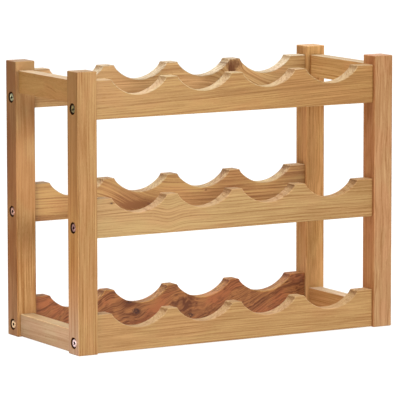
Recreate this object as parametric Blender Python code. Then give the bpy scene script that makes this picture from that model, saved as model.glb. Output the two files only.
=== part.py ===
"""Wine rack for twelve bottles in solid oak, as a knock-down assembly.

Four square posts carry three levels of scalloped bottle rails, front and rear. A plain side
rail joins the front and rear post of each side at the bottom and at the top. Each bottle rail is
held at either end by one socket-head screw through the post and one locating dowel above it, and
each side rail by two small dowels per end.

Frame: +X to the right, +Y to the back, +Z up, origin on the floor under the middle of the rack.
"""
import math

import bmesh
import bpy
from mathutils import Vector

# Overall size, in metres.
WIDTH = 0.470
DEPTH = 0.198
HEIGHT = 0.361

# Timber sections.
POST = 0.028
POST_EASE = 0.0012
RAIL_THICKNESS = 0.019
RAIL_HEIGHT = 0.050
RAIL_EASE = 0.0008
SIDE_RAIL_HEIGHT = 0.0293

# Heights of the undersides of the bottle rails and the side rails. The rack stands on its posts,
# so the bottom rails hang just clear of the floor. The front middle rail is set a little low.
RAIL_TOP_BELOW_POST_TOP = 0.012
TOP_LEVEL = HEIGHT - RAIL_TOP_BELOW_POST_TOP - RAIL_HEIGHT
LEVELS = {
    "bottom": 0.0005,
    "middle": TOP_LEVEL / 2,
    "top": TOP_LEVEL,
}
FRONT_MIDDLE_DROP = 0.0013
SIDE_LEVELS = {
    "bottom": 0.0008,
    "top": HEIGHT - RAIL_TOP_BELOW_POST_TOP - SIDE_RAIL_HEIGHT,
}

# Scallops that cradle the bottles. Each is a wide arc between two tighter shoulder arcs, which
# climb to the rail's flat top at the shoulder slope. Sanding rounded the corners between flat and
# shoulder, and opened the lower rails' scallops a little more.
BOTTLES_PER_LEVEL = 4
SCALLOP_PITCH = 0.0958
SCALLOP_DEPTH = 0.0205
SCALLOP_CHORDS = {"bottom": 0.0815, "middle": 0.0797, "top": 0.0787}
CORNER_RADII = {"bottom": 0.0030, "middle": 0.0020, "top": 0.0013}
SHOULDER_RADIUS = 0.018
SHOULDER_SLOPE = math.radians(68)
SCALLOP_STEPS = 10
SHOULDER_STEPS = 2
CORNER_STEPS = 2

# Joinery. GAP is the clearance left between any two pieces that touch.
GAP = 0.0003
OVERCUT = 0.001
BLIND_HOLE_SPARE = 0.001

SCREW_LENGTH = 0.050
SCREW_RADIUS = 0.0035
SCREW_TIP_RADIUS = 0.0013
SCREW_TIP_LENGTH = 0.005
SCREW_HEAD_RADIUS = 0.0051
SCREW_HEAD_HEIGHT = 0.0040
SCREW_HEAD_EASE = 0.0004
SOCKET_HALF_WIDTH = 0.0020
SOCKET_DEPTH = 0.0026
COUNTERBORE_RADIUS = 0.0074
COUNTERBORE_DEPTH = 0.0053
SCREW_ABOVE_RAIL_BOTTOM = 0.0145

RAIL_DOWEL_LENGTH = 0.030
RAIL_DOWEL_RADIUS = 0.0040
RAIL_DOWEL_IN_POST = 0.012
RAIL_DOWEL_ABOVE_RAIL_BOTTOM = 0.035

SIDE_DOWEL_LENGTH = 0.024
SIDE_DOWEL_RADIUS = 0.0030
SIDE_DOWEL_IN_POST = 0.0085
SIDE_DOWEL_HEIGHTS = {"lower": 0.0073, "upper": 0.0220}

DOWEL_CHAMFER = 0.0008
ROUND_SIDES = 12
BORE_SIDES = 16

# Places worked out from the sizes above.
POST_X = (WIDTH - POST) / 2
POST_Y = (DEPTH - POST) / 2
RAIL_LENGTH = WIDTH - 2 * POST - 2 * GAP
SIDE_RAIL_LENGTH = DEPTH - 2 * POST - 2 * GAP
SIDES = {"left": -1, "right": 1}
FACES = {"front": -1, "rear": 1}
AXIS_X = Vector((1, 0, 0))
AXIS_Y = Vector((0, 1, 0))

# Oiled oak varies from piece to piece; linear colours.
TIMBER_COLOURS = {
    "post_front_left": (0.54, 0.29, 0.12),
    "post_front_right": (0.53, 0.28, 0.13),
    "post_rear_left": (0.48, 0.24, 0.10),
    "post_rear_right": (0.47, 0.23, 0.08),
    "side_rail_left_bottom": (0.51, 0.31, 0.17),
    "side_rail_left_top": (0.40, 0.20, 0.07),
    "side_rail_right_bottom": (0.47, 0.25, 0.10),
    "side_rail_right_top": (0.47, 0.25, 0.09),
    "bottle_rail_front_bottom": (0.54, 0.31, 0.13),
    "bottle_rail_front_middle": (0.56, 0.34, 0.14),
    "bottle_rail_front_top": (0.54, 0.30, 0.12),
    "bottle_rail_rear_bottom": (0.37, 0.14, 0.07),
    "bottle_rail_rear_middle": (0.48, 0.25, 0.11),
    "bottle_rail_rear_top": (0.50, 0.27, 0.11),
}
BEECH_COLOUR = (0.62, 0.44, 0.26)
SCREW_COLOUR = (0.60, 0.56, 0.50)


def clear_scene():
    for item in list(bpy.data.objects):
        bpy.data.objects.remove(item, do_unlink=True)


def material(name, colour, roughness, metallic=0.0):
    made = bpy.data.materials.new(name)
    made.use_nodes = True
    shader = made.node_tree.nodes["Principled BSDF"]
    shader.inputs["Base Color"].default_value = (*colour, 1.0)
    shader.inputs["Roughness"].default_value = roughness
    shader.inputs["Metallic"].default_value = metallic
    return made


def timber(name):
    return material("oak_" + name, TIMBER_COLOURS[name], 0.55)


def place(name, mesh, finish, location, parent):
    """Put a mesh in the scene as one named piece."""
    piece = bpy.data.objects.new(name, mesh)
    bpy.context.scene.collection.objects.link(piece)
    piece.location = location
    piece.parent = parent
    if finish is not None:
        piece.data.materials.append(finish)
    return piece


def finish_mesh(name, bm, smooth=False):
    bmesh.ops.recalc_face_normals(bm, faces=bm.faces)
    mesh = bpy.data.meshes.new(name)
    bm.to_mesh(mesh)
    bm.free()
    if smooth:
        mesh.shade_smooth()
        mesh.set_sharp_from_angle(angle=math.radians(30))
    return mesh


def turned(bm, stations, origin, axis, sides=ROUND_SIDES):
    """Add one closed turned solid.

    A station is (distance along the axis, radius) for a round ring, or (distance, half width,
    "hexagon") for a ring of the same number of points on a hexagon.
    """
    turn = axis.to_track_quat("Z", "Y")
    sixth = math.pi / 3
    rings = []
    for distance, radius, *shape in stations:
        ring = []
        for step in range(sides):
            angle = 2 * math.pi * step / sides
            reach = radius
            if shape:
                reach = radius / math.cos(angle % sixth - sixth / 2)
            spoke = Vector((reach * math.cos(angle), reach * math.sin(angle), distance))
            ring.append(bm.verts.new(origin + turn @ spoke))
        rings.append(ring)
    for near, far in zip(rings, rings[1:]):
        for step in range(sides):
            after = (step + 1) % sides
            bm.faces.new((near[step], near[after], far[after], far[step]))
    bm.faces.new(list(reversed(rings[0])))
    bm.faces.new(rings[-1])


def drill(bm, mouth, inward, depth, radius, sides=ROUND_SIDES):
    """Add the plug that a drill of this radius leaves: it starts just outside the mouth."""
    turned(bm, [(-OVERCUT, radius), (depth, radius)], mouth, inward, sides)


def cut(piece, cutter_mesh):
    """Subtract a mesh that shares the piece's own frame."""
    cutter = place(piece.name + "_cutter", cutter_mesh, None, piece.location, piece.parent)
    cutter.hide_render = True
    cutter.display_type = "WIRE"
    holes = piece.modifiers.new("holes", "BOOLEAN")
    holes.operation = "DIFFERENCE"
    holes.solver = "EXACT"
    holes.object = cutter


def eased_block(size, ease, edge_axes):
    """A block centred on X and Y that stands on Z = 0, its edges along the named axes eased."""
    bm = bmesh.new()
    bmesh.ops.create_cube(bm, size=1.0)
    for vert in bm.verts:
        vert.co = Vector((vert.co.x * size[0], vert.co.y * size[1], (vert.co.z + 0.5) * size[2]))
    picked = []
    for edge in bm.edges:
        run = edge.verts[1].co - edge.verts[0].co
        longest = max(range(3), key=lambda axis: abs(run[axis]))
        if "XYZ"[longest] in edge_axes:
            picked.append(edge)
    bmesh.ops.bevel(bm, geom=picked, offset=ease, segments=2, profile=0.5, affect="EDGES")
    return bm


def rail_underside(face, level_name):
    """Height of a bottle rail's underside; face is -1 at the front and 1 at the rear."""
    if face < 0 and level_name == "middle":
        return LEVELS[level_name] - FRONT_MIDDLE_DROP
    return LEVELS[level_name]


def post_holes(side, face):
    """Plugs for every hole in one post: side and face are -1 or 1 towards its outer faces."""
    bm = bmesh.new()
    inward = AXIS_X * -side
    for level_name in LEVELS:
        level = rail_underside(face, level_name)
        outer = Vector((side * POST / 2, 0, level + SCREW_ABOVE_RAIL_BOTTOM))
        bore_radius = SCREW_RADIUS + GAP
        turned(bm, [
            (-OVERCUT, COUNTERBORE_RADIUS),
            (COUNTERBORE_DEPTH, COUNTERBORE_RADIUS),
            (COUNTERBORE_DEPTH, bore_radius),
            (POST + OVERCUT, bore_radius),
        ], outer, inward, BORE_SIDES)
        inner = Vector((-side * POST / 2, 0, level + RAIL_DOWEL_ABOVE_RAIL_BOTTOM))
        drill(bm, inner, AXIS_X * side, RAIL_DOWEL_IN_POST + BLIND_HOLE_SPARE,
              RAIL_DOWEL_RADIUS + GAP)
    for level in SIDE_LEVELS.values():
        for height in SIDE_DOWEL_HEIGHTS.values():
            inner = Vector((0, -face * POST / 2, level + height))
            drill(bm, inner, AXIS_Y * face, SIDE_DOWEL_IN_POST + BLIND_HOLE_SPARE,
                  SIDE_DOWEL_RADIUS + GAP)
    return finish_mesh("post_holes", bm)


def build_posts(rack):
    for face_name, face in FACES.items():
        for side_name, side in SIDES.items():
            name = f"post_{face_name}_{side_name}"
            bm = eased_block((POST, POST, HEIGHT), POST_EASE, "XYZ")
            location = (side * POST_X, face * POST_Y, 0)
            post = place(name, finish_mesh(name, bm), timber(name), location, rack)
            cut(post, post_holes(side, face))


def arc(centre, radius, start, end, steps):
    """Points (x, z) of an arc, both ends included."""
    points = []
    for step in range(steps + 1):
        angle = start + (end - start) * step / steps
        points.append((centre[0] + radius * math.cos(angle), centre[1] + radius * math.sin(angle)))
    return points


def scallop(middle, chord, corner_radius, inset):
    """Outline points (x, z) of one scallop, from the flat on its right to the flat on its left.

    The wide arc, the shoulders and the rounded corners meet tangentially, and their centres are
    the same for every inset.
    """
    quarter = math.pi / 2
    shoulder_x = chord / 2 - SHOULDER_RADIUS * math.sin(SHOULDER_SLOPE)
    span = SCALLOP_DEPTH + SHOULDER_RADIUS * (math.cos(SHOULDER_SLOPE) - 1)
    offset = (shoulder_x ** 2 + span ** 2) / (2 * span)
    join = math.asin(shoulder_x / offset)
    bowl_radius = offset + SHOULDER_RADIUS
    bowl_z = RAIL_HEIGHT - SCALLOP_DEPTH + bowl_radius
    shoulder_z = bowl_z - offset * math.cos(join)

    corner_z = RAIL_HEIGHT - corner_radius
    rise = shoulder_z - corner_z
    corner_from_shoulder = math.sqrt((SHOULDER_RADIUS + corner_radius) ** 2 - rise ** 2)
    corner_x = shoulder_x + corner_from_shoulder
    lean = math.atan2(rise, corner_from_shoulder)

    corner = corner_radius - inset
    shoulder = SHOULDER_RADIUS + inset
    points = arc((middle + corner_x, corner_z), corner, quarter, math.pi - lean, CORNER_STEPS)
    points += arc((middle + shoulder_x, shoulder_z), shoulder, -lean, join - quarter,
                  SHOULDER_STEPS)[1:]
    points += arc((middle, bowl_z), bowl_radius + inset, join - quarter, -join - quarter,
                  SCALLOP_STEPS)[1:]
    points += arc((middle - shoulder_x, shoulder_z), shoulder, -join - quarter, lean - math.pi,
                  SHOULDER_STEPS)[1:]
    points += arc((middle - corner_x, corner_z), corner, lean, quarter, CORNER_STEPS)[1:]
    return points


def rail_outline(level_name, inset):
    """Outline (x, z) of a bottle rail, walked from the lower left corner to the right.

    The long edges and the scallops sit back by inset, the sawn ends don't.
    """
    half = RAIL_LENGTH / 2
    points = [(-half, inset), (half, inset), (half, RAIL_HEIGHT - inset)]
    for index in reversed(range(BOTTLES_PER_LEVEL)):
        middle = (index - (BOTTLES_PER_LEVEL - 1) / 2) * SCALLOP_PITCH
        points += scallop(middle, SCALLOP_CHORDS[level_name], CORNER_RADII[level_name], inset)
    points.append((-half, RAIL_HEIGHT - inset))
    return points


def bottle_rail_mesh(name, level_name):
    """Bottle rail with its front and rear edges eased, standing on Z = 0."""
    bm = bmesh.new()
    half = RAIL_THICKNESS / 2
    stations = [
        (-half, RAIL_EASE),
        (RAIL_EASE - half, 0),
        (half - RAIL_EASE, 0),
        (half, RAIL_EASE),
    ]
    rings = []
    for y, inset in stations:
        rings.append([bm.verts.new((x, y, z)) for x, z in rail_outline(level_name, inset)])
    count = len(rings[0])
    for near, far in zip(rings, rings[1:]):
        for step in range(count):
            after = (step + 1) % count
            bm.faces.new((near[step], near[after], far[after], far[step]))
    bm.faces.new(rings[0])
    bm.faces.new(list(reversed(rings[-1])))
    return finish_mesh(name, bm)


def bottle_rail_holes():
    """Screw and dowel holes in both ends of a bottle rail."""
    bm = bmesh.new()
    screw_depth = (COUNTERBORE_DEPTH - GAP - SCREW_HEAD_HEIGHT) + SCREW_LENGTH - POST
    dowel_depth = RAIL_DOWEL_LENGTH - RAIL_DOWEL_IN_POST
    for side in SIDES.values():
        end = side * RAIL_LENGTH / 2
        inward = AXIS_X * -side
        drill(bm, Vector((end, 0, SCREW_ABOVE_RAIL_BOTTOM)), inward,
              screw_depth + BLIND_HOLE_SPARE, SCREW_RADIUS + GAP, BORE_SIDES)
        drill(bm, Vector((end, 0, RAIL_DOWEL_ABOVE_RAIL_BOTTOM)), inward,
              dowel_depth + BLIND_HOLE_SPARE, RAIL_DOWEL_RADIUS + GAP)
    return finish_mesh("bottle_rail_holes", bm)


def build_bottle_rails(rack):
    for face_name, face in FACES.items():
        for level_name in LEVELS:
            name = f"bottle_rail_{face_name}_{level_name}"
            mesh = bottle_rail_mesh(name, level_name)
            location = (0, face * POST_Y, rail_underside(face, level_name))
            rail = place(name, mesh, timber(name), location, rack)
            cut(rail, bottle_rail_holes())


def build_side_rails(rack):
    for side_name, side in SIDES.items():
        for level_name, level in SIDE_LEVELS.items():
            name = f"side_rail_{side_name}_{level_name}"
            size = (RAIL_THICKNESS, SIDE_RAIL_LENGTH, SIDE_RAIL_HEIGHT)
            bm = eased_block(size, RAIL_EASE, "Y")
            location = (side * POST_X, 0, level)
            rail = place(name, finish_mesh(name, bm), timber(name), location, rack)
            holes = bmesh.new()
            depth = SIDE_DOWEL_LENGTH - SIDE_DOWEL_IN_POST + BLIND_HOLE_SPARE
            for face in FACES.values():
                for height in SIDE_DOWEL_HEIGHTS.values():
                    mouth = Vector((0, face * SIDE_RAIL_LENGTH / 2, height))
                    drill(holes, mouth, AXIS_Y * -face, depth, SIDE_DOWEL_RADIUS + GAP)
            cut(rail, finish_mesh("side_rail_holes", holes))


def dowel_mesh(name, radius, length, axis):
    """Dowel centred on its own origin, with chamfered ends."""
    bm = bmesh.new()
    narrow = radius - DOWEL_CHAMFER
    half = length / 2
    stations = [
        (-half, narrow),
        (DOWEL_CHAMFER - half, radius),
        (half - DOWEL_CHAMFER, radius),
        (half, narrow),
    ]
    turned(bm, stations, Vector((0, 0, 0)), axis)
    return finish_mesh(name, bm, smooth=True)


def build_dowels(rack, beech):
    rail_mesh = dowel_mesh("rail_dowel", RAIL_DOWEL_RADIUS, RAIL_DOWEL_LENGTH, AXIS_X)
    side_mesh = dowel_mesh("side_dowel", SIDE_DOWEL_RADIUS, SIDE_DOWEL_LENGTH, AXIS_Y)
    for mesh in (rail_mesh, side_mesh):
        mesh.materials.append(beech)
    rail_centre = WIDTH / 2 - POST + RAIL_DOWEL_IN_POST - RAIL_DOWEL_LENGTH / 2
    side_centre = DEPTH / 2 - POST + SIDE_DOWEL_IN_POST - SIDE_DOWEL_LENGTH / 2
    for side_name, side in SIDES.items():
        for face_name, face in FACES.items():
            for level_name in LEVELS:
                name = f"rail_dowel_{face_name}_{side_name}_{level_name}"
                z = rail_underside(face, level_name) + RAIL_DOWEL_ABOVE_RAIL_BOTTOM
                place(name, rail_mesh, None, (side * rail_centre, face * POST_Y, z), rack)
            for level_name, level in SIDE_LEVELS.items():
                for row_name, height in SIDE_DOWEL_HEIGHTS.items():
                    name = f"side_dowel_{face_name}_{side_name}_{level_name}_{row_name}"
                    location = (side * POST_X, face * side_centre, level + height)
                    place(name, side_mesh, None, location, rack)


def screw_mesh(name, outward):
    """Screw along the outward axis: its origin is the middle of the head's outer face."""
    bm = bmesh.new()
    shoulder = -SCREW_HEAD_HEIGHT
    turned(bm, [
        (-SCREW_LENGTH, SCREW_TIP_RADIUS),
        (SCREW_TIP_LENGTH - SCREW_LENGTH, SCREW_RADIUS),
        (shoulder, SCREW_RADIUS),
        (shoulder, SCREW_HEAD_RADIUS),
        (-SCREW_HEAD_EASE, SCREW_HEAD_RADIUS),
        (0, SCREW_HEAD_RADIUS - SCREW_HEAD_EASE),
        (0, SOCKET_HALF_WIDTH, "hexagon"),
        (-SOCKET_DEPTH, SOCKET_HALF_WIDTH, "hexagon"),
    ], Vector((0, 0, 0)), outward)
    return finish_mesh(name, bm, smooth=True)


def build_screws(rack, steel):
    head_below_face = COUNTERBORE_DEPTH - GAP - SCREW_HEAD_HEIGHT
    for side_name, side in SIDES.items():
        mesh = screw_mesh("screw_" + side_name, AXIS_X * side)
        mesh.materials.append(steel)
        for face_name, face in FACES.items():
            for level_name in LEVELS:
                name = f"screw_{face_name}_{side_name}_{level_name}"
                x = side * (WIDTH / 2 - head_below_face)
                z = rail_underside(face, level_name) + SCREW_ABOVE_RAIL_BOTTOM
                place(name, mesh, None, (x, face * POST_Y, z), rack)


def main():
    clear_scene()
    rack = bpy.data.objects.new("wine_rack", None)
    bpy.context.scene.collection.objects.link(rack)
    build_posts(rack)
    build_bottle_rails(rack)
    build_side_rails(rack)
    build_dowels(rack, material("beech", BEECH_COLOUR, 0.6))
    build_screws(rack, material("zinc_plated_steel", SCREW_COLOUR, 0.35, metallic=1.0))


main()
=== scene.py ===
"""Looks of the oak wine rack: fine meshes, oak and steel materials, light, floor and camera.

Every timber and screw is a fine copy of its CAD node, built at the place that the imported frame
gives. The hidden beech dowels are the CAD nodes themselves with a wood material.
"""

import math

import bmesh
import bpy
from mathutils import Matrix, Vector


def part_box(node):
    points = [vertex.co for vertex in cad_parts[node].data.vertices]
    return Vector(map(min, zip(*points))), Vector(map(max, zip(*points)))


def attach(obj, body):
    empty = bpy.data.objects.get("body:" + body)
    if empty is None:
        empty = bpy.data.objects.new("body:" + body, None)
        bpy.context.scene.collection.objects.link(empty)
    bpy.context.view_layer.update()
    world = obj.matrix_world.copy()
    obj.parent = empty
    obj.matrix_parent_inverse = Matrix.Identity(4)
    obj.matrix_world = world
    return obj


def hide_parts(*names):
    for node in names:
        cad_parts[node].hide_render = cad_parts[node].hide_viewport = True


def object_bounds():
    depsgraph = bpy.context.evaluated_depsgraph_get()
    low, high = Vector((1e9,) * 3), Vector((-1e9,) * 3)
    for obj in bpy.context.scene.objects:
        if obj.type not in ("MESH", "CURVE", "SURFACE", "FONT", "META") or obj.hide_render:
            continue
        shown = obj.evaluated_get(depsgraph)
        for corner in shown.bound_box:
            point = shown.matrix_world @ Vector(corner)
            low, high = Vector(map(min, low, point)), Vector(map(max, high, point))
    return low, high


MM = 0.001
BODY = "root"

# Scallops of a bottle rail, as the CAD cuts them: a wide arc, two shoulder arcs, two corners.
SCALLOPS = 4
SCALLOP_PITCH = 95.8 * MM
SCALLOP_DEPTH = 20.5 * MM
SCALLOP_CHORDS = {"bottom": 81.5 * MM, "middle": 79.7 * MM, "top": 78.7 * MM}
CORNER_RADII = {"bottom": 3.0 * MM, "middle": 2.0 * MM, "top": 1.3 * MM}
SHOULDER_RADIUS = 18.0 * MM
SHOULDER_SLOPE = math.radians(68)
SCALLOP_STEPS = 36
SHOULDER_STEPS = 8
CORNER_STEPS = 6

# Edges and holes.
POST_EASE = 1.3 * MM
RAIL_EASE = 1.0 * MM
EASE_STEPS = 4
GAP = 0.3 * MM
OVERCUT = 1.0 * MM
COUNTERBORE_RADIUS = 7.4 * MM
COUNTERBORE_DEPTH = 5.3 * MM
COUNTERBORE_EASE = 0.2 * MM
BORE_SIDES = 48
HIDDEN_HOLE_SIDES = 24
# Band of the counterbore's faces that is its eased rim, and that rim's place in the linings.
RIM_BAND = 3
RIM_MATERIAL = 1

# Screw head.
HEAD_HEIGHT = 4.0 * MM
HEAD_EASE = 0.45 * MM
SOCKET_HALF_WIDTH = 2.0 * MM
SOCKET_DEPTH = 2.6 * MM
SOCKET_EASE = 0.25 * MM
SHANK_RADIUS = 3.5 * MM
TIP_RADIUS = 1.3 * MM
TIP_LENGTH = 5.0 * MM
SCREW_SIDES = 48

# Edges that turn by less than this are shaded smooth.
SMOOTH_ANGLE = math.radians(30)

# Second material of a timber, for its cut and top faces, paler partly as sanded wood and partly
# as painted sheen and top light; and how far up a normal has to point for its face to count as
# top.
CUT_AND_SHEEN_MATERIAL = 1
UPWARD = 0.2


# ---------------------------------------------------------------- mesh tools

def add_piece(name, mesh, location=(0, 0, 0)):
    piece = bpy.data.objects.new(name, mesh)
    bpy.context.scene.collection.objects.link(piece)
    piece.location = location
    return piece


def to_mesh(name, bm):
    bmesh.ops.recalc_face_normals(bm, faces=bm.faces)
    mesh = bpy.data.meshes.new(name)
    bm.to_mesh(mesh)
    bm.free()
    return mesh


def even_shading(piece):
    """Smooth round stretches, keep flat faces flat."""
    piece.data.shade_smooth()
    piece.data.set_sharp_from_angle(angle=SMOOTH_ANGLE)
    even = piece.modifiers.new("even_shading", "WEIGHTED_NORMAL")
    even.keep_sharp = True


def turned(bm, stations, origin, axis, sides):
    """Add one closed turned solid, and give its bands of faces from the first station on.

    A third value marks a ring on a hexagon of that half width.
    """
    turn = axis.to_track_quat("Z", "Y")
    sixth = math.pi / 3
    rings = []
    for distance, radius, *shape in stations:
        ring = []
        for step in range(sides):
            angle = 2 * math.pi * step / sides
            reach = radius
            if shape:
                reach = radius / math.cos(angle % sixth - sixth / 2)
            spoke = Vector((reach * math.cos(angle), reach * math.sin(angle), distance))
            ring.append(bm.verts.new(origin + turn @ spoke))
        rings.append(ring)
    bands = []
    for near, far in zip(rings, rings[1:]):
        band = []
        for step in range(sides):
            after = (step + 1) % sides
            band.append(bm.faces.new((near[step], near[after], far[after], far[step])))
        bands.append(band)
    bm.faces.new(list(reversed(rings[0])))
    bands.append([bm.faces.new(rings[-1])])
    return bands


def box_frame(node):
    low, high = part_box(node)
    return (low + high) / 2, high - low


def overlaps(node, other):
    low_a, high_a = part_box(node)
    low_b, high_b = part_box(other)
    return all(min(high_a[i], high_b[i]) - max(low_a[i], low_b[i]) > OVERCUT for i in range(3))


def outward_x(node):
    """Unit X vector that points out of the rack at a screw."""
    centre, _ = box_frame(node)
    return Vector((math.copysign(1, centre.x), 0, 0))


def hole_plug(bm, wood, fastener):
    """Add the solid that one fastener's hole takes out of one timber, in world coordinates."""
    centre, size = box_frame(fastener)
    half = max(size) / 2 + OVERCUT
    if not fastener.startswith("screw"):
        axis = Vector((0, 0, 0))
        axis[max(range(3), key=lambda i: size[i])] = 1
        radius = min(size) / 2 + GAP
        turned(bm, [(-half, radius), (half, radius)], centre, axis, HIDDEN_HOLE_SIDES)
        return
    outward = outward_x(fastener)
    bore = SHANK_RADIUS + GAP
    if not wood.startswith("post"):
        turned(bm, [(-half, bore), (half, bore)], centre, outward, BORE_SIDES)
        return
    wood_centre, wood_size = box_frame(wood)
    surface = (wood_centre - centre).dot(outward) + wood_size.x / 2
    floor = surface - COUNTERBORE_DEPTH
    mouth = COUNTERBORE_RADIUS + COUNTERBORE_EASE
    stations = [
        (-half, bore),
        (floor, bore),
        (floor, COUNTERBORE_RADIUS),
        (surface - COUNTERBORE_EASE, COUNTERBORE_RADIUS),
        (surface, mouth),
        (surface + OVERCUT, mouth),
    ]
    bands = turned(bm, stations, centre, outward, BORE_SIDES)
    for rim_face in bands[RIM_BAND]:
        rim_face.material_index = RIM_MATERIAL


def drill(piece, wood, linings):
    """Cut the holes of every fastener that runs into this timber: linings are wall and rim."""
    bm = bmesh.new()
    for node in sorted(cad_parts):
        if node.startswith(("screw", "rail_dowel", "side_dowel")) and overlaps(wood, node):
            hole_plug(bm, wood, node)
    bmesh.ops.translate(bm, vec=-piece.location, verts=bm.verts)
    cutter = add_piece(piece.name + "_cutter", to_mesh("cutter", bm), piece.location)
    for lining in linings:
        cutter.data.materials.append(lining)
    holes = piece.modifiers.new("holes", "BOOLEAN")
    holes.material_mode = "TRANSFER"
    holes.operation = "DIFFERENCE"
    holes.solver = "EXACT"
    holes.object = cutter
    graph = bpy.context.evaluated_depsgraph_get()
    cut_mesh = bpy.data.meshes.new_from_object(piece.evaluated_get(graph))
    piece.modifiers.clear()
    piece.data = cut_mesh
    bpy.data.objects.remove(cutter, do_unlink=True)


# ---------------------------------------------------------------- timber shapes

def eased_block(size, ease, edge_axes, top_material=0):
    """Block centred on its origin, with the edges that run along the named axes rounded."""
    bm = bmesh.new()
    bmesh.ops.create_cube(bm, size=1.0)
    for vert in bm.verts:
        vert.co = Vector([vert.co[i] * size[i] for i in range(3)])
    picked = []
    for edge in bm.edges:
        run = edge.verts[1].co - edge.verts[0].co
        longest = max(range(3), key=lambda i: abs(run[i]))
        if "XYZ"[longest] in edge_axes:
            picked.append(edge)
    bmesh.ops.bevel(bm, geom=picked, offset=ease, segments=EASE_STEPS, profile=0.5,
                    affect="EDGES")
    bm.normal_update()
    # Top faces take top_material: for side rails the cut material, which paints sheen and top
    # light.
    for face in bm.faces:
        if face.normal.z > UPWARD:
            face.material_index = top_material
    return bm


def arc(centre, radius, start, end, steps):
    points = []
    for step in range(steps + 1):
        angle = start + (end - start) * step / steps
        points.append((centre[0] + radius * math.cos(angle), centre[1] + radius * math.sin(angle)))
    return points


def scallop(middle, top, level, inset):
    """Line (x, z) of one scallop from left to right, set back by inset."""
    quarter = math.pi / 2
    shoulder_x = SCALLOP_CHORDS[level] / 2 - SHOULDER_RADIUS * math.sin(SHOULDER_SLOPE)
    span = SCALLOP_DEPTH + SHOULDER_RADIUS * (math.cos(SHOULDER_SLOPE) - 1)
    offset = (shoulder_x ** 2 + span ** 2) / (2 * span)
    join = math.asin(shoulder_x / offset)
    bowl_radius = offset + SHOULDER_RADIUS
    bowl_z = top - SCALLOP_DEPTH + bowl_radius
    shoulder_z = bowl_z - offset * math.cos(join)

    corner_radius = CORNER_RADII[level]
    corner_z = top - corner_radius
    rise = shoulder_z - corner_z
    corner_from_shoulder = math.sqrt((SHOULDER_RADIUS + corner_radius) ** 2 - rise ** 2)
    corner_x = shoulder_x + corner_from_shoulder
    lean = math.atan2(rise, corner_from_shoulder)

    corner = corner_radius - inset
    shoulder = SHOULDER_RADIUS + inset
    points = arc((middle - corner_x, corner_z), corner, quarter, lean, CORNER_STEPS)
    points += arc((middle - shoulder_x, shoulder_z), shoulder, lean - math.pi, -join - quarter,
                  SHOULDER_STEPS)[1:]
    points += arc((middle, bowl_z), bowl_radius + inset, -join - quarter, join - quarter,
                  SCALLOP_STEPS)[1:]
    points += arc((middle + shoulder_x, shoulder_z), shoulder, join - quarter, -lean,
                  SHOULDER_STEPS)[1:]
    points += arc((middle + corner_x, corner_z), corner, math.pi - lean, quarter,
                  CORNER_STEPS)[1:]
    return points


def rail_top(length, top, inset, level):
    """Top line (x, z) of a bottle rail from its left end to its right end, set back by inset."""
    half = length / 2
    points = [(-half, top - inset)]
    for index in range(SCALLOPS):
        middle = (index - (SCALLOPS - 1) / 2) * SCALLOP_PITCH
        points += scallop(middle, top, level, inset)
    points.append((half, top - inset))
    return points


def bottle_rail(size, level):
    """Bottle rail centred on its origin: rings from front to rear, rounded along both edges."""
    bm = bmesh.new()
    half_depth, half_height = size.y / 2, size.z / 2
    profile = []
    for step in range(EASE_STEPS + 1):
        angle = math.pi / 2 * step / EASE_STEPS
        profile.append((RAIL_EASE * (1 - math.sin(angle)), RAIL_EASE * (1 - math.cos(angle))))
    stations = [(-half_depth + y, inset) for inset, y in profile]
    stations += [(half_depth - y, inset) for inset, y in reversed(profile)]
    tops, bottoms = [], []
    for y, inset in stations:
        line = rail_top(size.x, half_height, inset, level)
        tops.append([bm.verts.new((x, y, z)) for x, z in line])
        bottoms.append([bm.verts.new((x, y, inset - half_height)) for x, _ in line])
    count = len(tops[0])
    for step in range(count - 1):
        after = step + 1
        # Top, scallop and eased edge faces take the cut material: partly paler sanded wood, partly
        # painted sheen and highlight.
        for near, far in zip(tops, tops[1:]):
            face = bm.faces.new((near[step], near[after], far[after], far[step]))
            face.material_index = CUT_AND_SHEEN_MATERIAL
        for near, far in zip(bottoms, bottoms[1:]):
            bm.faces.new((near[step], far[step], far[after], near[after]))
        bm.faces.new((bottoms[0][step], bottoms[0][after], tops[0][after], tops[0][step]))
        bm.faces.new((bottoms[-1][step], tops[-1][step], tops[-1][after], bottoms[-1][after]))
    for end in (0, -1):
        for index in range(len(stations) - 1):
            corners = (tops[index][end], tops[index + 1][end],
                       bottoms[index + 1][end], bottoms[index][end])
            bm.faces.new(corners)
    return bm


# ---------------------------------------------------------------- materials

# Shares of a board's tint in its palest wood, its pinker pale wood and its deepest streaks.
PALE = (1.20, 1.26, 1.36)
BLUSH = (1.22, 1.18, 1.30)
DEEP = (0.66, 0.52, 0.40)
# Painted top light and highlight on a post's end grain and the top of its eased edges, as shares
# of the face colour.
TOP_HIGHLIGHT = (1.05, 1.25, 1.85)
CUT_GLOSS = 0.05
# How squarely a scallop's face looks sideways where its upright ends begin and are full: there
# they turn darker, partly end grain, partly painted shade away from the overhead light.
STEEP_SHADE_FACING = (0.60, 0.93)
# Painted reflection of the white floor on a post's heart side: where it is full low down and where
# it has faded out, in mm along the grain.
FLOOR_REFLECTION_REACH = (-185.0, -50.0)
# How far below a post's top the painted top highlight begins and is full, in mm.
TOP_HIGHLIGHT_DEPTHS = (0.9, 0.1)

# Boards take their noise this many cells apart.
SEED_STEP = 37.0
# Noise cells: width in mm, length in mm, and a shift in cells that keeps the layers apart.
RING_FADE_CELLS = (9, 150, 5.1)
STREAK_CELLS = (3.4, 210, 6.1)
FINE_CELLS = (1.5, 70, 7.9)
PORE_CELLS = (0.45, 6, 3.3)
BLUSH_CELLS = (24, 60, 17.0)
CLOUD_SHIFT = 2.7
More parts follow.
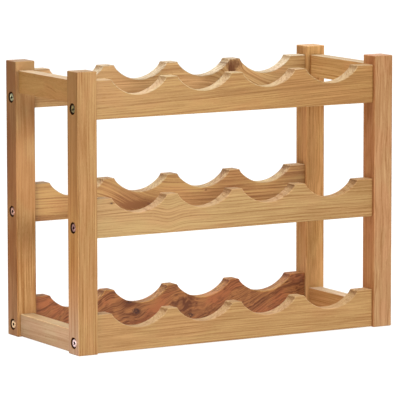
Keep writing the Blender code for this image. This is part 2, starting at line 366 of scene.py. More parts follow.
# Noise values between which rings, pores, rays and the pinker tint come in.
RING_FADE = (0.36, 0.62, 0.2, 1.0)
PORE_SHARE = (0.58, 0.70)
RAY_SHARE = (0.62, 0.72)
BLUSH_SHARE = (0.42, 0.60)
# Pores left in late wood, as a share of those in early wood.
LATE_PORES = 0.3
RAYS_PER_MM = 0.9
RAY_LENGTH = 3.5
# How uneven growth rings are, in rings, and how many rings one change lasts.
RING_UNEVEN = 2.2
RING_CELLS = 2.3
# Parts of one ring over which its early wood begins and ends.
RING_RISE = (0.0, 0.14)
RING_FALL = (0.16, 0.50)
# Width in mm over which the grain wanders alike, and the shift between its two directions.
SWAY_WIDTH = 40.0
SWAY_SHIFT = 9.7
# Knots: long along the grain, pulling the grain aside within their reach, with a ragged edge.
KNOT_STRETCH = 0.6
KNOT_REACH = 2.4
KNOT_PULL = 0.8
KNOT_RAG = 0.8
KNOT_CELLS = (0.5, 0.35)
# Where a knot's cover fades out and where its heart ends, as shares of its size.
KNOT_EDGE = (0.35, 1.15)
KNOT_HEART = (0.1, 0.32)
# Relief and roughness that the grain adds to a face.
GRAIN_DEPTH = 0.12 * MM
GRAIN_STRENGTH = 0.5
GRAIN_ROUGHNESS = 0.25
FINE_HEIGHT = 0.6

# Bright and dull tone of a drilled hole's wall and of a counterbore's eased rim: painted shade,
# nearly black in the wall and darker than the face at the rim.
BORE_WALL_SHADE = ((0.05, 0.020, 0.008), (0.022, 0.008, 0.003))
BORE_RIM_SHADE = ((0.26, 0.13, 0.05), (0.16, 0.07, 0.025))
BORE_CELL = 0.8
BEECH = ((0.66, 0.47, 0.29), (0.52, 0.34, 0.19))
BEECH_CELLS = (0.5, 3.0)
# Turning marks and cloud cells of the plating, per mm.
STEEL_MARKS = 6.0
STEEL_CLOUDS = 0.7


class Wiring:
    """Short hand for one material's node tree."""

    def __init__(self, name):
        self.material = bpy.data.materials.new(name)
        self.material.use_nodes = True
        self.nodes = self.material.node_tree.nodes
        self.links = self.material.node_tree.links
        self.shader = self.nodes["Principled BSDF"]

    def put(self, socket, value):
        if isinstance(value, bpy.types.NodeSocket):
            self.links.new(value, socket)
        else:
            socket.default_value = value

    def math(self, operation, *values, clamp=False):
        node = self.nodes.new("ShaderNodeMath")
        node.operation = operation
        node.use_clamp = clamp
        for socket, value in zip(node.inputs, values):
            self.put(socket, value)
        return node.outputs[0]

    def split(self, vector):
        node = self.nodes.new("ShaderNodeSeparateXYZ")
        self.put(node.inputs[0], vector)
        return node.outputs[0], node.outputs[1], node.outputs[2]

    def join(self, x, y, z):
        node = self.nodes.new("ShaderNodeCombineXYZ")
        for socket, value in zip(node.inputs, (x, y, z)):
            self.put(socket, value)
        return node.outputs[0]

    def shifted(self, vector, distance):
        node = self.nodes.new("ShaderNodeVectorMath")
        self.put(node.inputs[0], vector)
        self.put(node.inputs[1], (distance, -distance, distance))
        return node.outputs[0]

    def times(self, vector, factors):
        node = self.nodes.new("ShaderNodeVectorMath")
        node.operation = "MULTIPLY"
        self.put(node.inputs[0], vector)
        self.put(node.inputs[1], factors)
        return node.outputs[0]

    def noise(self, vector, detail=2.0, roughness=0.5):
        """Noise about 0.5 whose features are one unit of the vector wide."""
        node = self.nodes.new("ShaderNodeTexNoise")
        self.put(node.inputs["Vector"], vector)
        self.put(node.inputs["Scale"], 1.0)
        self.put(node.inputs["Detail"], detail)
        self.put(node.inputs["Roughness"], roughness)
        return node.outputs[0]

    def centred_noise(self, vector, detail=2.0, roughness=0.5):
        return self.math("SUBTRACT", self.noise(vector, detail, roughness), 0.5)

    def squares(self, first, second):
        """Sum of two squares."""
        return self.math("ADD", self.math("POWER", first, 2.0), self.math("POWER", second, 2.0))

    def length(self, first, second):
        return self.math("SQRT", self.squares(first, second))

    def bell(self, squared):
        """Bell curve, 1 at 0, of a squared distance."""
        return self.math("EXPONENT", self.math("MULTIPLY", squared, -1.0))

    def ease(self, value, low, high, start=0.0, end=1.0):
        """Smooth step of value from low to high."""
        node = self.nodes.new("ShaderNodeMapRange")
        node.interpolation_type = "SMOOTHSTEP"
        for socket, entry in zip(node.inputs, (value, low, high, start, end)):
            self.put(socket, entry)
        return node.outputs[0]

    def mix(self, share, first, second):
        node = self.nodes.new("ShaderNodeMix")
        node.data_type = "RGBA"
        self.put(node.inputs["Factor"], share)
        for label, value in (("A", first), ("B", second)):
            socket = [s for s in node.inputs if s.name == label and s.type == "RGBA"][0]
            if not isinstance(value, bpy.types.NodeSocket):
                value = (*value, 1.0)
            self.put(socket, value)
        return [s for s in node.outputs if s.type == "RGBA"][0]

    def bump(self, height, strength, distance):
        node = self.nodes.new("ShaderNodeBump")
        self.put(node.inputs["Strength"], strength)
        self.put(node.inputs["Distance"], distance)
        self.put(node.inputs["Height"], height)
        self.put(self.shader.inputs["Normal"], node.outputs[0])


def grain_space(w, grain):
    """Object coordinates in mm as (across 1, across 2, along the grain)."""
    coordinates = w.nodes.new("ShaderNodeTexCoord").outputs["Object"]
    x, y, z = [w.math("MULTIPLY", part, 1 / MM) for part in w.split(coordinates)]
    return {"X": (y, z, x), "Y": (x, z, y), "Z": (x, y, z)}[grain]


def board_tone(w, along, v, look):
    """Tone of a board without its figure: an even drift, and darker or paler patches, partly
    blotches, partly painted light and shade.
    """
    tone = w.math("MULTIPLY_ADD", along, look["fade"], look["tone"])
    for patch_along, patch_v, reach_along, reach_v, shift in look["patches"]:
        off_along = w.math("DIVIDE", w.math("SUBTRACT", along, patch_along), reach_along)
        off_v = w.math("DIVIDE", w.math("SUBTRACT", v, patch_v), reach_v)
        tone = w.math("MULTIPLY_ADD", w.bell(w.squares(off_along, off_v)), shift, tone)
    return tone


def knot(w, along, v, place, seed, rim):
    """Cover of one ragged knot, and v pulled aside so that the grain runs round it."""
    knot_along, knot_v, size, darkness = place
    far_along = w.math("MULTIPLY", w.math("SUBTRACT", along, knot_along), KNOT_STRETCH)
    far_v = w.math("SUBTRACT", v, knot_v)
    distance = w.length(far_along, far_v)
    spread = w.math("POWER", w.math("DIVIDE", distance, size * KNOT_REACH), 2.0)
    pull = w.math("MULTIPLY", w.math("MULTIPLY", far_v, w.bell(spread)), KNOT_PULL)
    cells_along, cells_v = KNOT_CELLS
    ragged = w.noise(w.join(w.math("MULTIPLY", along, cells_along),
                            w.math("MULTIPLY", far_v, cells_v), seed + knot_along), 2.0)
    rag = size * KNOT_RAG
    edge = w.math("MULTIPLY_ADD", ragged, rag * 2, w.math("SUBTRACT", distance, rag))
    cover = w.ease(edge, *[size * share for share in KNOT_EDGE], darkness, 0.0)
    heart = w.ease(distance, *[size * share for share in KNOT_HEART], rim, 1.0)
    return w.math("MULTIPLY", cover, heart), w.math("SUBTRACT", v, pull)


def swayed(w, u, v, along, seed, wave):
    """Grain coordinates u and v that wander by the wave's size over its length."""
    size, length = wave
    sway = w.join(w.math("DIVIDE", u, SWAY_WIDTH), w.math("DIVIDE", v, SWAY_WIDTH),
                  w.math("MULTIPLY_ADD", along, 1 / length, seed))
    sway_u = w.centred_noise(sway)
    sway_v = w.centred_noise(w.shifted(sway, SWAY_SHIFT))
    return (w.math("MULTIPLY_ADD", sway_u, size * 2, u),
            w.math("MULTIPLY_ADD", sway_v, size * 2, v))


def early_wood(w, u, v, seed, look):
    """Share of dark early wood in growth rings of uneven width round the pith."""
    pith_u, pith_v = look["pith"]
    radius = w.length(w.math("SUBTRACT", u, pith_u), w.math("SUBTRACT", v, pith_v))
    uneven = w.noise(w.join(w.math("DIVIDE", radius, look["ring"] * RING_CELLS), seed, 0.0), 1.0)
    place = w.math("ADD", w.math("DIVIDE", radius, look["ring"]),
                   w.math("MULTIPLY", uneven, RING_UNEVEN))
    phase = w.math("FRACT", place)
    return w.math("MULTIPLY", w.ease(phase, *RING_RISE), w.ease(phase, *RING_FALL, 1.0, 0.0))


def shade(tint, share, contrast):
    return tuple(min(1.0, part * factor ** contrast) for part, factor in zip(tint, share))


def oak(name, grain, look):
    """Oiled oak: growth rings round a pith, streaks, open pores, rays and knots.

    Lengths in look are millimetres, in the timber's own grain space.
    """
    w = Wiring(name)
    u, v, along = grain_space(w, grain)
    seed = look["seed"] * SEED_STEP
    base_tone = board_tone(w, along, v, look)
    knot_cover = 0.0
    for place in look["knots"]:
        cover, v = knot(w, along, v, place, seed, look["knot_rim"])
        knot_cover = w.math("MAXIMUM", knot_cover, cover)
    for centre, length, slope in look["bends"]:
        turn = w.math("TANH", w.math("DIVIDE", w.math("SUBTRACT", along, centre), length))
        v = w.math("MULTIPLY_ADD", turn, slope * length, v)
    bent_u, bent_v = swayed(w, u, v, along, seed, look["wave"])

    def cells(across, length, shift):
        """Coordinates for noise with cells this wide and long, moved by shift cells."""
        return w.join(
            w.math("MULTIPLY_ADD", bent_u, 1 / across, seed + shift),
            w.math("MULTIPLY_ADD", bent_v, 1 / across, seed - shift),
            w.math("MULTIPLY_ADD", along, 1 / length, seed * 0.7 + shift),
        )

    early = early_wood(w, bent_u, bent_v, seed, look)
    strength = w.ease(w.noise(cells(*RING_FADE_CELLS), 1.0), *RING_FADE)
    rings = w.math("MULTIPLY", early, strength)
    broad = w.centred_noise(cells(*look["clouds"], CLOUD_SHIFT), 1.0)
    streaks = w.centred_noise(cells(*STREAK_CELLS), 1.0)
    fine = w.centred_noise(cells(*FINE_CELLS), 1.0, 0.6)
    pores = w.math("MULTIPLY", w.ease(w.noise(cells(*PORE_CELLS), 1.0), *PORE_SHARE),
                   w.math("MULTIPLY_ADD", early, 1 - LATE_PORES, LATE_PORES))
    ray_noise = w.noise(w.join(w.math("MULTIPLY_ADD", u, RAYS_PER_MM, seed),
                               w.math("MULTIPLY", v, RAYS_PER_MM),
                               w.math("DIVIDE", along, RAY_LENGTH)), 1.0)
    rays = w.ease(ray_noise, *RAY_SHARE)

    tone = base_tone
    for layer, share in ((broad, "broad"), (streaks, "streaks"), (rings, "rings"),
                         (fine, "fine"), (pores, "pores")):
        tone = w.math("MULTIPLY_ADD", layer, look[share], tone)
    tone = w.math("MULTIPLY_ADD", rays, -look["rays"], tone, clamp=True)

    tint, contrast = look["tint"], look["contrast"]
    blush = w.ease(w.noise(cells(*BLUSH_CELLS), 2.0), *BLUSH_SHARE)
    pale = w.mix(blush, shade(tint, look["pale"], contrast), shade(tint, BLUSH, contrast))
    colour = w.mix(tone, pale, shade(tint, look["deep"], contrast))
    end_colour = colour
    # Heartwood on the post's left and rear faces: partly the board's darker heart, partly painted
    # shade that dims those faces.
    if look["heart"]:
        lean_u, lean_v, near, far = look["heart_side"]
        depth = w.math("ADD", w.math("MULTIPLY", u, lean_u), w.math("MULTIPLY", v, lean_v))
        heart_shade_reflection_colour = w.times(colour, look["heart"])
        # Painted reflection of the white floor: the heart side greys and pales towards the post's
        # lower end.
        if look["floor_reflection"]:
            low = w.ease(along, *FLOOR_REFLECTION_REACH, 1.0, 0.0)
            heart_shade_reflection_colour = w.mix(low, heart_shade_reflection_colour, w.times(heart_shade_reflection_colour, look["floor_reflection"]))
        end_colour = w.mix(0.5, colour, heart_shade_reflection_colour)
        colour = w.mix(w.ease(depth, near, far), colour, heart_shade_reflection_colour)
    if look["knots"]:
        colour = w.mix(knot_cover, colour, look["knot_colour"])
    # Painted top light and highlight over the post's end grain.
    if look["end"]:
        start, full = [look["end"] - depth for depth in TOP_HIGHLIGHT_DEPTHS]
        colour = w.mix(w.ease(along, start, full), colour, w.times(end_colour, TOP_HIGHLIGHT))
    # Cut and top faces: partly the paler sanded cut, partly painted sheen and top light.
    if look["cut"]:
        # Upright ends of the scallops turn darker: partly end grain, partly painted shade where
        # little overhead light falls.
        facing = w.split(w.nodes.new("ShaderNodeTexCoord").outputs["Normal"])[0]
        steep_grain_and_shade = w.ease(w.math("ABSOLUTE", facing), *STEEP_SHADE_FACING)
        colour = w.times(colour, look["cut"])
        colour = w.mix(steep_grain_and_shade, colour, w.times(colour, look["steep_grain_and_shade"]))
    w.put(w.shader.inputs["Base Color"], colour)

    rough = w.math("MULTIPLY_ADD", pores, GRAIN_ROUGHNESS, look["roughness"])
    rough = w.math("MULTIPLY_ADD", fine, GRAIN_ROUGHNESS, rough)
    w.put(w.shader.inputs["Roughness"], rough)
    w.shader.inputs["Specular IOR Level"].default_value = look["gloss"]
    height = w.math("SUBTRACT", w.math("MULTIPLY", fine, FINE_HEIGHT), pores)
    w.bump(height, GRAIN_STRENGTH, GRAIN_DEPTH)
    return w.material


def flecks(w, across, length, detail):
    """Noise with cells this wide across the grain and this long along it, in mm."""
    u, v, along = grain_space(w, "X")
    return w.noise(w.join(w.math("DIVIDE", u, across), w.math("DIVIDE", v, across),
                          w.math("DIVIDE", along, length)), detail)


def oak_bore(name, bright, dull):
    """Rough drilled wood, cloudy between two tones, which for the hole linings are painted shade.
    """
    w = Wiring(name)
    cells = flecks(w, BORE_CELL, BORE_CELL, 3.0)
    w.put(w.shader.inputs["Base Color"], w.mix(w.ease(cells, 0.35, 0.7), bright, dull))
    w.shader.inputs["Roughness"].default_value = 0.85
    w.shader.inputs["Specular IOR Level"].default_value = 0.0
    w.bump(cells, 0.4, 0.2 * MM)
    return w.material


def beech(name, bright, dull):
    """Plain beech with short fine flecks, for the dowels."""
    w = Wiring(name)
    cells = flecks(w, *BEECH_CELLS, 2.0)
    w.put(w.shader.inputs["Base Color"], w.mix(w.ease(cells, 0.35, 0.7), bright, dull))
    w.shader.inputs["Roughness"].default_value = 0.6
    w.bump(cells, 0.2, 0.1 * MM)
    return w.material


def plated_steel(name, bright, dull):
    """Plated steel with fine turning marks round its own X axis, cloudy between two tones."""
    w = Wiring(name)
    y, z, x = grain_space(w, "X")
    marks = w.noise(w.join(w.math("MULTIPLY", w.length(y, z), STEEL_MARKS), x, 0.0), 2.0)
    cloud = w.noise(w.join(w.math("MULTIPLY", x, STEEL_CLOUDS),
                           w.math("MULTIPLY", y, STEEL_CLOUDS),
                           w.math("MULTIPLY", z, STEEL_CLOUDS)), 3.0)
    w.put(w.shader.inputs["Base Color"], w.mix(w.ease(cloud, 0.35, 0.65), bright, dull))
    w.shader.inputs["Metallic"].default_value = 1.0
    w.put(w.shader.inputs["Roughness"], w.math("MULTIPLY_ADD", marks, 0.2, 0.22))
    w.bump(marks, 0.15, 0.05 * MM)
    return w.material


# ---------------------------------------------------------------- looks of the boards

# Look of a plain board, some of which each entry of LOOKS changes. Lengths are mm in grain space.
# Patches are (along, v, reach along, reach v, shift of tone): partly the board's own blotches,
# partly painted light and shade where the rails' shadows fall. Knots are (along, v, size,
# darkness), bends (along, length, slope), the wave (size, length), clouds (width, length), and the
# side of the heartwood, which also paints shade on the posts' left and rear faces (share of u,
# share of v, depth where it begins, depth where it is full).
OAK = {
    "knot_colour": (0.085, 0.028, 0.012),
    "roughness": 0.40,
    "gloss": 0.2,
    "ring": 3.9,
    "wave": (2.5, 160.0),
    "pith": (0.0, -150.0),
    "fade": 0.0,
    "patches": (),
    "contrast": 1.0,
    "end": None,
    "cut": None,
    "steep_grain_and_shade": (0.57, 0.46, 0.34),
    "heart": None,
    "floor_reflection": None,
    "heart_side": (-1.0, 1.0, -2.0, 2.0),
    "clouds": (14.0, 300.0),
    "bends": (),
    "knots": (),
    "knot_rim": 1.0,
    "pale": PALE,
    "deep": DEEP,
    "tone": 0.36,
    "broad": 0.5,
    "streaks": 0.35,
    "rings": 0.40,
    "fine": 1.5,
    "pores": 0.4,
    "rays": 0.18,
}

# A post's heart share darkens its left and rear faces: partly heartwood, partly painted shade.
LOOKS = {
    "post_front_left": {
        "tint": (0.379, 0.214, 0.083),
        "gloss": 0.02,
        "pith": (-140, 60),
        "ring": 3.2,
        "heart": (0.48, 0.42, 0.33),
        "floor_reflection": (0.95, 1.16, 2.2),
        # Patches on the left face: paler top, darker middle, partly the board's tone, partly
        # painted light and shade.
        "patches": ((165, 4, 50, 12, -0.5), (-60, 4, 45, 12, 0.3)),
        "rings": 0.3,
    },
    "post_front_right": {
        "tint": (0.354, 0.195, 0.086),
        "gloss": 0.02,
        "pith": (-60, 90),
        "ring": 3.2,
        "wave": (4.0, 90.0),
        "heart": (1.11, 0.89, 0.73),
        # Patches on the inner left face: painted light just above each rail and painted shade just
        # below it.
        "patches": ((170, 4, 24, 12, -0.5), (108, 4, 22, 12, 0.45), (20, 4, 18, 12, -0.3),
                    (-25, 4, 16, 12, 0.15)),
        "fade": 0.0006,
        "rings": 0.25,
    },
    "post_rear_left": {
        "tint": (0.318, 0.170, 0.064),
        "gloss": 0.02,
        "pith": (-120, -40),
        "pale": (1.32, 1.45, 1.65),
        "streaks": 0.24,
        "rings": 0.12,
        "clouds": (40.0, 60.0),
        "broad": 1.0,
        # Patches on the front face: partly blotches, partly painted light at the top and painted
        # shadow of the front rails.
        "patches": ((170, 0, 24, 60, -0.9), (30, -14, 45, 14, -0.25), (-40, -14, 22, 14, 0.25),
                    (-125, -14, 60, 14, 0.3)),
        "floor_reflection": (1.08, 1.28, 1.8),
        "heart": (0.42, 0.33, 0.27),
    },
    "post_rear_right": {
        "tint": (0.512, 0.282, 0.101),
        "gloss": 0.02,
        "pith": (90, 80),
        "wave": (4.0, 90.0),
        "heart": (0.78, 0.71, 0.68),
        "floor_reflection": (1.02, 1.08, 1.2),
        # Patches: partly the board's tone, partly painted light at the top and painted shadow of
        # the front top rail below it.
        "patches": ((165, 0, 22, 60, -0.1), (110, 0, 24, 60, 0.4), (-60, 0, 28, 60, 0.15),
                    (-150, 0, 35, 60, -0.3)),
        "rings": 0.25,
        "ring": 3.6,
    },
    "side_rail_left_bottom": {
        "tint": (0.179, 0.114, 0.061),
        "fine": 0.8,
        "gloss": 0.02,
        "pith": (60, -140),
        "rings": 0.15,
        "streaks": 0.3,
    },
    "side_rail_left_top": {
        "tint": (0.259, 0.135, 0.041),
        "gloss": 0.02,
        "pith": (40, 220),
        "ring": 9.0,
        "wave": (9.0, 60.0),
        "rings": 0.16,
        "streaks": 0.3,
        "fine": 0.5,
    },
    "side_rail_right_bottom": {
        "tint": (0.375, 0.184, 0.061),
        "gloss": 0.02,
        "pith": (60, -140),
        "rings": 0.2,
    },
    "side_rail_right_top": {
        "tint": (0.464, 0.254, 0.089),
        # Dark band at the rear end: painted contact shadow where the rail meets the rear post.
        "patches": ((70, 0, 2.4, 40, 1.0),),
        "gloss": 0.02,
        "pith": (60, 110),
        "rings": 0.3,
    },
    "bottle_rail_front_bottom": {
        "tint": (0.377, 0.216, 0.076),
        "pith": (50, -130),
        "ring": 3.8,
        "rings": 0.3,
        "fade": 0.0004,
    },
    "bottle_rail_front_middle": {
        "tint": (0.366, 0.222, 0.081),
        "pith": (20, -180),
        "ring": 4.0,
        "rings": 0.5,
        "bends": ((-112, 12, 0.3), (-92, 12, -0.3)),
        "knots": ((-184.5, 18.3, 1.3, 0.9),),
        "fade": 0.0012,
    },
    "bottle_rail_front_top": {
        "tint": (0.340, 0.185, 0.055),
        "pith": (60, -150),
        "ring": 3.4,
        "wave": (2.2, 140.0),
        "bends": ((20, 160, -0.05),),
        "rings": 0.36,
        "fade": 0.0012,
        "steep_grain_and_shade": (0.70, 0.59, 0.46),
    },
    "bottle_rail_rear_bottom": {
        "tint": (0.241, 0.082, 0.026),
        "pith": (30, 60),
        "wave": (10.0, 45.0),
        "ring": 4.0,
        "rings": 0.44,
        "broad": 1.0,
        "streaks": 0.9,
        "fine": 2.6,
        "knot_colour": (0.05, 0.018, 0.012),
        "knots": ((-55.6, -6.6, 4.6, 1.0), (-65.6, 4.8, 3.4, 0.9), (27.4, -19.0, 3.6, 0.95),
                  (14.0, -4.0, 11.0, 0.15)),
        "knot_rim": 0.1,
        "steep_grain_and_shade": (0.40, 0.27, 0.24),
        "pale": (1.24, 1.42, 1.48),
        "deep": (0.56, 0.50, 0.52),
        "contrast": 1.2,
        "bends": ((-140, 60, -0.6), (120, 90, -0.45)),
        # Patches: blotches round the knots, and a paler left end that is painted light.
        "patches": ((-66, 5, 12, 6, 0.9), (-58, -10, 16, 7, 0.6), (22, -5, 9, 8, 0.7),
                    (30, 6, 10, 4, 0.4), (-24, -4, 13, 9, -0.7), (52, 2, 13, 9, -0.8),
                    (100, 8, 26, 8, -0.3), (-190, 0, 24, 20, -0.2)),
    },
    "bottle_rail_rear_middle": {
        "tint": (0.350, 0.192, 0.062),
        "pith": (80, -110),
        "rings": 0.5,
        "broad": 1.1,
        "bends": ((-70, 45, 0.6),),
        "streaks": 1.1,
        "knots": ((-36.0, -12.4, 2.0, 0.6), (51.6, 0.0, 1.6, 0.7)),
        "knot_colour": (0.14, 0.05, 0.022),
        "contrast": 1.08,
        # Patches: partly blotches, such as the dark one under the first scallop, partly painted
        # light, such as the paler left end.
        "patches": ((-192, 14, 34, 9, -0.4), (92, -4, 60, 14, 0.25), (-56, -13, 27, 6, 1.1),
                    (-76, -3, 22, 6, 0.4), (22, 3, 34, 8, -0.4), (140, 4, 20, 6, -0.3),
                    (-92, 14, 30, 8, -0.3), (-20, 8, 20, 6, -0.3)),
        "deep": (0.62, 0.44, 0.42),
    },
    "bottle_rail_rear_top": {
        "tint": (0.457, 0.270, 0.103),
        "pith": (60, 120),
        "rings": 0.5,
        "broad": 1.1,
        "bends": ((120, 30, 0.75),),
        "streaks": 1.0,
        "knots": ((94.9, 18.0, 8.5, 0.80), (91.6, 16.0, 4.5, 0.95), (79.4, 10.7, 1.8, 0.9)),
        "knot_colour": (0.105, 0.026, 0.003),
        # Patches: partly the board's tone, partly painted shade where a flat of the front rail
        # casts its shadow.
        "patches": ((190, 12, 26, 12, -0.3), (-92, 16, 34, 8, -0.2), (55, 0, 14, 10, 0.3)),
        "steep_grain_and_shade": (0.70, 0.59, 0.46),
    },
}

# Colour of each board's cut and top faces, as shares of its front face's colour: partly the paler
# sanded cut, partly painted sheen and top light.
CUT_TONE_AND_SHEEN = {
    "side_rail_left_bottom": (1.80, 1.95, 1.85),
    "side_rail_left_top": (1.72, 2.5, 5.0),
    "side_rail_right_bottom": (1.41, 2.16, 4.1),
    "side_rail_right_top": (0.90, 1.24, 2.1),
    "bottle_rail_front_bottom": (1.10, 1.22, 1.58),
    "bottle_rail_front_middle": (1.14, 1.18, 1.44),
    "bottle_rail_front_top": (1.16, 1.49, 2.50),
    "bottle_rail_rear_bottom": (1.22, 1.55, 1.58),
    "bottle_rail_rear_middle": (1.12, 1.38, 1.98),
    "bottle_rail_rear_top": (0.97, 1.30, 2.15),
}


# ---------------------------------------------------------------- pieces

def timber_piece(wood, shape, grain, linings):
    """Fine timber at the CAD node's place, with its own oak."""
    centre, size = box_frame(wood)
    piece = add_piece("oak_" + wood, to_mesh("oak_" + wood, shape(size)), centre)
    look = {**OAK, "seed": sorted(LOOKS).index(wood) + 1, **LOOKS[wood]}
    # Height of the post's top, where its painted top highlight goes.
    if wood.startswith("post"):
        look["end"] = size.z / 2 / MM
    piece.data.materials.append(oak("oak_" + wood, grain, look))
    # A paler copy for the cut and top faces, with painted sheen and top light.
    if wood in CUT_TONE_AND_SHEEN:
        cut_and_sheen_look = {**look, "cut": CUT_TONE_AND_SHEEN[wood], "gloss": CUT_GLOSS}
        piece.data.materials.append(oak("cut_" + wood, grain, cut_and_sheen_look))
    drill(piece, wood, linings)
    even_shading(piece)
    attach(piece, BODY)
    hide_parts(wood)


def make_timbers():
    # Hole linings: oak in painted shade.
    linings = (oak_bore("oak_bore_wall_shade", *BORE_WALL_SHADE), oak_bore("oak_bore_rim_shade", *BORE_RIM_SHADE))
    for wood in sorted(LOOKS):
        if wood.startswith("post"):
            timber_piece(wood, lambda size: eased_block(size, POST_EASE, "XYZ"), "Z",
                         linings)
        elif wood.startswith("side_rail"):
            timber_piece(wood, lambda size: eased_block(size, RAIL_EASE, "Y", CUT_AND_SHEEN_MATERIAL), "Y",
                         linings)
        else:
            level = wood.rsplit("_", 1)[1]
            timber_piece(wood, lambda size: bottle_rail(size, level), "X", linings)


# Bright and dull tone of the plating at each place: one plating in lit and shaded copies, the
# tones painting each head's reflection and shade.
PLATING_LIT_AND_SHADED = {
    "front_top": ((0.22, 0.16, 0.05), (0.07, 0.048, 0.012)),
    "rear_top": ((0.36, 0.34, 0.19), (0.12, 0.11, 0.05)),
    "front_middle": ((0.26, 0.12, 0.10), (0.16, 0.07, 0.06)),
    "rear_middle": ((0.52, 0.28, 0.20), (0.30, 0.14, 0.10)),
    "front_bottom": ((0.74, 0.54, 0.52), (0.46, 0.31, 0.29)),
    "rear_bottom": ((0.82, 0.56, 0.32), (0.50, 0.31, 0.16)),
}
# Second material of a screw, inside its socket: near-black steel that paints the shade in the
# socket.
SOCKET_SHADE_MATERIAL = 1
SOCKET_SHADE_STEEL = ((0.05, 0.03, 0.025), (0.02, 0.012, 0.01))


def make_screws():
    steels = {}
    for place, (bright, dull) in PLATING_LIT_AND_SHADED.items():
        steels[place] = plated_steel("plated_steel_" + place, bright, dull)
    socket_shade_steel = plated_steel("socket_shade_steel", *SOCKET_SHADE_STEEL)
    for node in sorted(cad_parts):
        if not node.startswith("screw"):
            continue
        centre, size = box_frame(node)
        outward = outward_x(node)
        head = size.y / 2
        half = size.x / 2
        under = half - HEAD_HEIGHT
        bm = bmesh.new()
        stations = [(-half, TIP_RADIUS), (TIP_LENGTH - half, SHANK_RADIUS), (under, SHANK_RADIUS),
                    (under, head)]
        for step in range(EASE_STEPS + 1):
            angle = math.pi / 2 * step / EASE_STEPS
            stations.append((half - HEAD_EASE * (1 - math.sin(angle)),
                             head - HEAD_EASE * (1 - math.cos(angle))))
        stations += [
            (half, SOCKET_HALF_WIDTH + SOCKET_EASE, "hexagon"),
            (half - SOCKET_EASE, SOCKET_HALF_WIDTH, "hexagon"),
            (half - SOCKET_DEPTH, SOCKET_HALF_WIDTH, "hexagon"),
        ]
        bands = turned(bm, stations, Vector((0, 0, 0)), outward, SCREW_SIDES)
        # Socket wall and floor: painted shade.
        for face in bands[-2] + bands[-1]:
            face.material_index = SOCKET_SHADE_MATERIAL
        piece = add_piece("steel_" + node, to_mesh("steel_" + node, bm), centre)
        _, side, _, level = node.split("_")
        # Each place takes its own painted reflection and shade of the one plating.
        piece.data.materials.append(steels[side + "_" + level])
        piece.data.materials.append(socket_shade_steel)
        even_shading(piece)
        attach(piece, BODY)
        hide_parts(node)


def finish_dowels(wood):
    for name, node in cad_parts.items():
        if name.startswith(("rail_dowel", "side_dowel")):
            node.data.materials.clear()
            node.data.materials.append(wood)


# ---------------------------------------------------------------- studio

# Camera fitted to the photograph: place in metres, yaw, pitch and roll, lens in mm.
CAMERA_PLACE = Vector((-2.3393, -4.0713, 0.7914))
CAMERA_TURN = (math.radians(29.870), math.radians(7.504), -0.00157)
CAMERA_LENS = 324.28
SENSOR_WIDTH = 36.0
VIEW_DEPTH = 100.0
# Dim room, and the bright part of its wall: direction, and cosines where it begins and is full.
ROOM_STRENGTH = 0.24
WALL_STRENGTH = 2.0
WALL_TOWARDS = (-0.10, 0.77, 0.64)
WALL_SPREAD = (0.72, 0.95)
# Lamps: a soft one overhead, a softbox before the rack, and a card low beside its left face.
OVERHEAD_STRENGTH = 4.3
OVERHEAD_FROM = (-0.16, 0.0, 1.0)
OVERHEAD_SOFTNESS = 30.0
SOFTBOX_POWER = 16.0
SOFTBOX_PLACE = (0.30, -1.50, 0.48)
SOFTBOX_SIZE = 0.36
CARD_POWER = 2.2
CARD_PLACE = (-0.46, -0.05, 0.02)
CARD_TOWARDS = (-0.235, -0.05, 0.05)
CARD_SIZE = 0.20
# White floor that glows evenly, just under the rack's feet.
WHITE = (1.0, 1.0, 1.0, 1.0)
FLOOR_GREY = (0.15, 0.15, 0.15, 1.0)
FLOOR_GLOW = 0.88
FLOOR_GAP = 0.05 * MM
FLOOR_HALF = 60.0


def make_camera():
    """Camera of the product view: left of the front, a little above, with a long lens."""
    camera = bpy.data.objects.new("camera", bpy.data.cameras.new("camera"))
    bpy.context.scene.collection.objects.link(camera)
    yaw, pitch, roll = CAMERA_TURN
    forward = Vector((math.sin(yaw) * math.cos(pitch), math.cos(yaw) * math.cos(pitch),
                      -math.sin(pitch)))
    right = Vector((math.cos(yaw), -math.sin(yaw), 0))
    up = right.cross(forward)
    turned_right = right * math.cos(roll) + up * math.sin(roll)
    turned_up = up * math.cos(roll) - right * math.sin(roll)
    axes = Matrix((turned_right, turned_up, -forward)).transposed()
    camera.matrix_world = Matrix.Translation(CAMERA_PLACE) @ axes.to_4x4()
    camera.data.sensor_width = SENSOR_WIDTH
    camera.data.lens = CAMERA_LENS
    camera.data.clip_end = VIEW_DEPTH
    bpy.context.scene.camera = camera


def make_floor():
    bm = bmesh.new()
    bmesh.ops.create_grid(bm, x_segments=1, y_segments=1, size=FLOOR_HALF)
    floor = add_piece("floor", to_mesh("floor", bm), (0, 0, -FLOOR_GAP))
    w = Wiring("floor_white")
    w.shader.inputs["Base Color"].default_value = FLOOR_GREY
    w.shader.inputs["Roughness"].default_value = 1.0
    w.shader.inputs["Specular IOR Level"].default_value = 0.0
    w.shader.inputs["Emission Color"].default_value = WHITE
    w.shader.inputs["Emission Strength"].default_value = FLOOR_GLOW
    floor.data.materials.append(w.material)


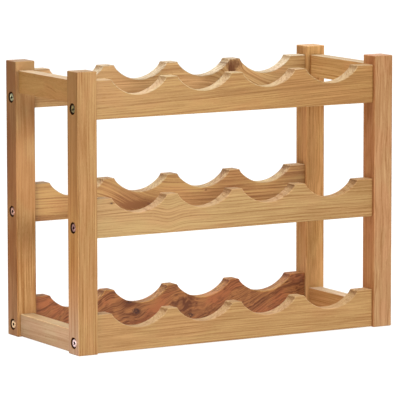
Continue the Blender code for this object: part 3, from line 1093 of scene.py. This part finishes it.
def add_lamp(name, kind, strength, place, towards):
    light = bpy.data.lights.new(name, kind)
    light.energy = strength
    lamp = bpy.data.objects.new(name, light)
    bpy.context.scene.collection.objects.link(lamp)
    lamp.location = place
    lamp.rotation_mode = "QUATERNION"
    lamp.rotation_quaternion = (Vector(place) - Vector(towards)).to_track_quat("Z", "Y")
    lamp.visible_camera = False
    return light


def make_light():
    """Dim white room, bright high behind the rack, with three lamps."""
    world = bpy.data.worlds.new("studio")
    world.use_nodes = True
    nodes, links = world.node_tree.nodes, world.node_tree.links
    direction = nodes.new("ShaderNodeTexCoord").outputs["Generated"]
    facing = nodes.new("ShaderNodeVectorMath")
    facing.operation = "DOT_PRODUCT"
    links.new(direction, facing.inputs[0])
    facing.inputs[1].default_value = Vector(WALL_TOWARDS).normalized()
    wall = nodes.new("ShaderNodeMapRange")
    wall.interpolation_type = "SMOOTHSTEP"
    links.new(facing.outputs["Value"], wall.inputs[0])
    for socket, value in zip(wall.inputs[1:5], (*WALL_SPREAD, ROOM_STRENGTH, WALL_STRENGTH)):
        socket.default_value = value
    background = nodes["Background"]
    background.inputs["Color"].default_value = WHITE
    links.new(wall.outputs[0], background.inputs["Strength"])
    bpy.context.scene.world = world

    middle = (cad_low + cad_high) / 2
    overhead = add_lamp("overhead", "SUN", OVERHEAD_STRENGTH, middle + Vector(OVERHEAD_FROM),
                        middle)
    overhead.angle = math.radians(OVERHEAD_SOFTNESS)
    softbox = add_lamp("softbox", "AREA", SOFTBOX_POWER, SOFTBOX_PLACE, middle)
    softbox.size = SOFTBOX_SIZE
    card = add_lamp("low_card", "AREA", CARD_POWER, CARD_PLACE, CARD_TOWARDS)
    card.size = CARD_SIZE
    bpy.context.scene.view_settings.view_transform = "Standard"


# ---------------------------------------------------------------- scene

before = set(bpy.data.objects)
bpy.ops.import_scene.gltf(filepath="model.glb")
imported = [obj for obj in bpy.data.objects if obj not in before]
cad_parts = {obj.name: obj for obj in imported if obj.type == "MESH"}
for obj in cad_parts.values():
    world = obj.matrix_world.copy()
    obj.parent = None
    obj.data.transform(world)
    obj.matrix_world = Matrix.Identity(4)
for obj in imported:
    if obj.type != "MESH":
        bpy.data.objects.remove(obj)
cad_low, cad_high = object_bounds()

make_camera()
make_floor()
make_light()
make_timbers()
make_screws()
finish_dowels(beech("beech", *BEECH))
